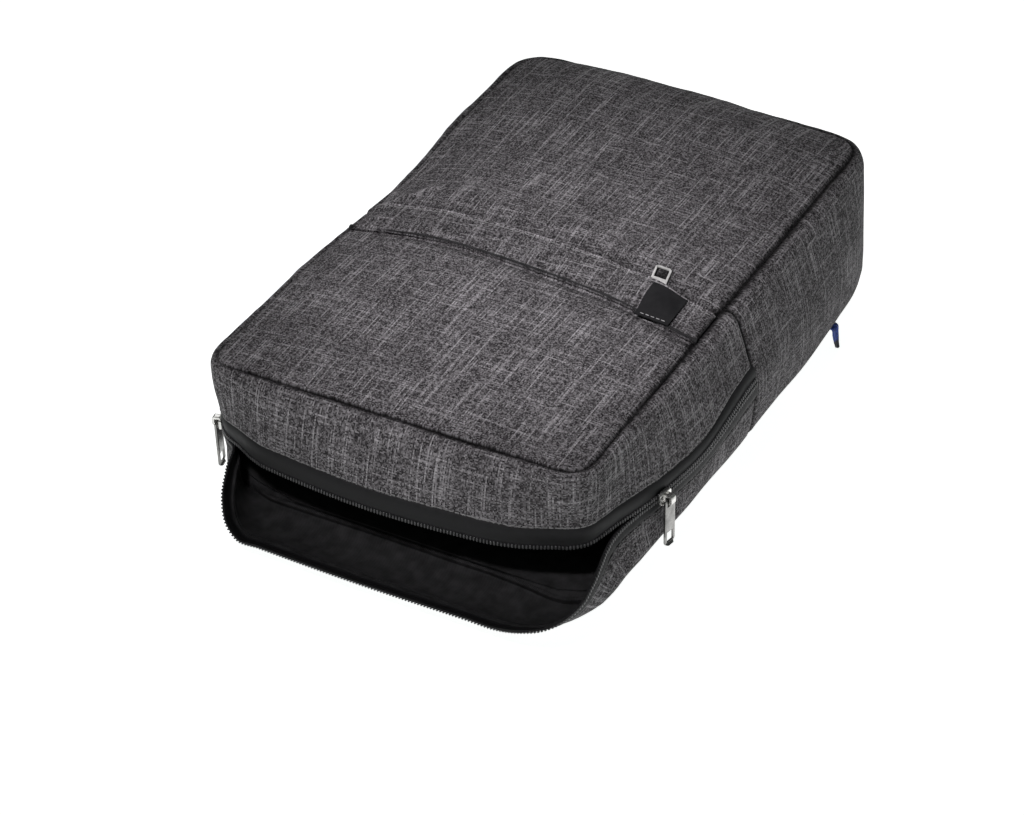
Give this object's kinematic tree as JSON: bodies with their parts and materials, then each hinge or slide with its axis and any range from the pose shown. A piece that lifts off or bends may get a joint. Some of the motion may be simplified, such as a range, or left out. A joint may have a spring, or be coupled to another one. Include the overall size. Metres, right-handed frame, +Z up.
{
  "type": "laptop backpack",
  "caption": "Soft grey laptop backpack lying on its back, with a rain flap over its front pocket and its main zip open at the top end.",
  "frame": {"origin": "on the surface below the middle of the whole part, lying on its straps", "axes": "+Z up out of the front panel, -Y towards the bag's top and its open mouth, +X across the width"},
  "size_m": [0.3025, 0.4658, 0.1273],
  "materials": {
    "cloth": "grey slub weave, matt",
    "black_cloth": "plain black weave",
    "zip_tape": "smooth coated black tape with a black coil",
    "nickel": "polished nickel",
    "blue_cloth": "woven ribbon",
    "strap_cloth": "black padded weave",
    "webbing": "ribbed black webbing",
    "buckle_plastic": "moulded black"
  },
  "bodies": {
    "bag": {"front_panel": "cloth", "pocket_panel": "cloth", "pocket_flap": "cloth", "pocket_label": "black_cloth", "pocket_slider": "nickel", "pocket_puller": "nickel", "front_gusset": "cloth", "zip_half_front": "zip_tape", "zip_half_back": "zip_tape", "back_gusset": "cloth", "lower_gusset": "cloth", "back_panel": "cloth", "back_lining": "black_cloth", "slider_right": "nickel", "slider_left": "nickel", "side_tag": "blue_cloth", "shoulder_strap_right": "strap_cloth", "shoulder_strap_left": "strap_cloth", "strap_webbing_right": "webbing", "strap_webbing_left": "webbing", "strap_buckle_right": "buckle_plastic", "strap_buckle_left": "buckle_plastic"},
    "puller_right": {"puller_right": "nickel"},
    "puller_left": {"puller_left": "nickel"}
  },
  "joints": [
    {"name": "puller_right_swing", "type": "hinge", "parent": "bag", "child": "puller_right", "pos_m": [0.1478, -0.11663, 0.04762], "axis": [-0.1653, -0.9862, 0], "range_deg": [0, 150]},
    {"name": "puller_left_swing", "type": "hinge", "parent": "bag", "child": "puller_left", "pos_m": [-0.13659, -0.17214, 0.04652], "axis": [-0.2431, 0.97, 0], "range_deg": [0, 150]}
  ]
}
